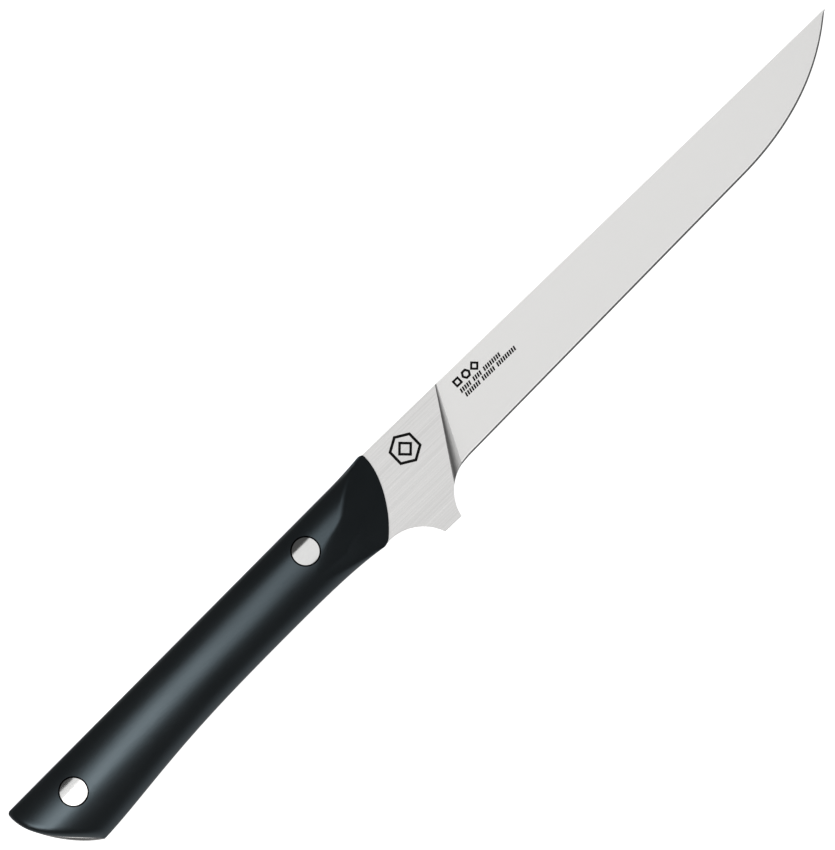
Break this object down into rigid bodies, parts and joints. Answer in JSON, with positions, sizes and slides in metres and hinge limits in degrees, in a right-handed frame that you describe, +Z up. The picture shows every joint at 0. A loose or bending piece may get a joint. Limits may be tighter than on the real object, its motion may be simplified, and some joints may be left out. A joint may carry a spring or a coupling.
{
  "type": "boning knife",
  "caption": "Full-tang boning knife with a narrow flat-ground blade, an integral finger guard and riveted black plastic scales.",
  "frame": {"origin": "centre of the knife's outline, on the surface that it lies on, left side down", "axes": "+X along the spine to the point, +Y to the spine, +Z up, out of the blade's right side"},
  "size_m": [0.2936, 0.0293, 0.017],
  "materials": {
    "blade_steel": "satin-ground stainless steel, brushed lengthwise",
    "handle_plastic": "black moulded acetal with a soft sheen",
    "rivet_steel": "rivet heads ground and polished flush"
  },
  "bodies": {
    "root": {"blade": "blade_steel", "scale_right": "handle_plastic", "scale_left": "handle_plastic", "front_rivet_stud": "rivet_steel", "front_rivet_sleeve": "rivet_steel", "rear_rivet_stud": "rivet_steel", "rear_rivet_sleeve": "rivet_steel"}
  },
  "joints": []
}
